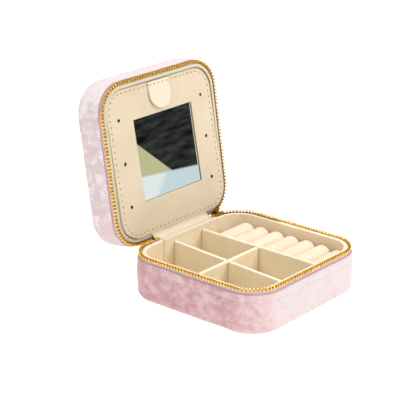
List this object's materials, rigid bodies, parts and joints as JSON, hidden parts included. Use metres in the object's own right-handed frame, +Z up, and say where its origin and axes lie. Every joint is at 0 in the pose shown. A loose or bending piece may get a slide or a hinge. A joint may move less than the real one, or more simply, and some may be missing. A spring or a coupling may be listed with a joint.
{
  "type": "jewelry box",
  "caption": "Square zip-up travel jewelry box with a velvet shell, a hinged lid with a mirror panel, divided bays and a bay of ring rolls.",
  "frame": {"origin": "centre of the base's flat underside", "axes": "+Z up, -Y the front that opens, +Y the hinge side, +X right with the ring bay"},
  "size_m": [0.1, 0.1357, 0.1197],
  "materials": {
    "velvet": "crushed velvet, dusty pink",
    "board": "grey board, covered",
    "suede": "cream microsuede",
    "hinge_cloth": "cream microsuede, smooth",
    "roll_suede": "soft microsuede over foam",
    "panel_leather": "matt artificial leather",
    "tab_leather": "smooth artificial leather",
    "zip_tape": "woven tape, dusty mauve",
    "zip_metal": "bright gold",
    "mirror": "silvered glass"
  },
  "bodies": {
    "base": {"base_cover": "velvet", "base_board": "board", "base_collar": "suede", "floor_pad": "suede", "base_inner_cloth": "hinge_cloth", "base_zip_tape": "zip_tape", "base_zip_teeth": "zip_metal", "base_zip_stops": "zip_metal", "ring_divider": "suede", "long_divider": "suede", "cross_divider": "suede", "ring_roll_1": "roll_suede", "ring_roll_2": "roll_suede", "ring_roll_3": "roll_suede", "ring_roll_4": "roll_suede", "ring_roll_5": "roll_suede", "ring_roll_6": "roll_suede", "ring_roll_7": "roll_suede"},
    "slider": {"zip_slider": "zip_metal"},
    "puller": {"zip_puller": "zip_metal"},
    "lid": {"lid_cover": "velvet", "lid_board": "board", "lid_collar": "suede", "lid_lining": "suede", "lid_zip_tape": "zip_tape", "lid_zip_teeth": "zip_metal", "lid_zip_stop": "zip_metal", "hinge_strip": "velvet", "lid_inner_cloth": "hinge_cloth"},
    "panel": {"panel_face": "panel_leather", "panel_board": "board", "panel_back": "suede", "mirror": "mirror", "tab_root": "tab_leather"},
    "tab": {"pull_tab": "tab_leather"}
  },
  "joints": [
    {"name": "lid_hinge", "type": "hinge", "parent": "base", "child": "lid", "pos_m": [0, 0.0485, 0.02422], "axis": [-1, 0, 0], "range_deg": [-98.5, 0]},
    {"name": "panel_hinge", "type": "hinge", "parent": "lid", "child": "panel", "pos_m": [0, 0.05167, 0.02875], "axis": [1, 0, 0], "range_deg": [0, 90]},
    {"name": "tab_lift", "type": "hinge", "parent": "panel", "child": "tab", "pos_m": [0, 0.06602, 0.11129], "axis": [-1, 0, 0], "range_deg": [0, 60]},
    {"name": "slider_run", "type": "hinge", "parent": "base", "child": "slider", "pos_m": [0.031, 0.03, 0.0266], "axis": [0, 0, -1], "range_deg": [0, 75]},
    {"name": "puller_swing", "type": "hinge", "parent": "slider", "child": "puller", "pos_m": [0.031, 0.0503, 0.0266], "axis": [1, 0, 0], "range_deg": [0, 35]}
  ]
}
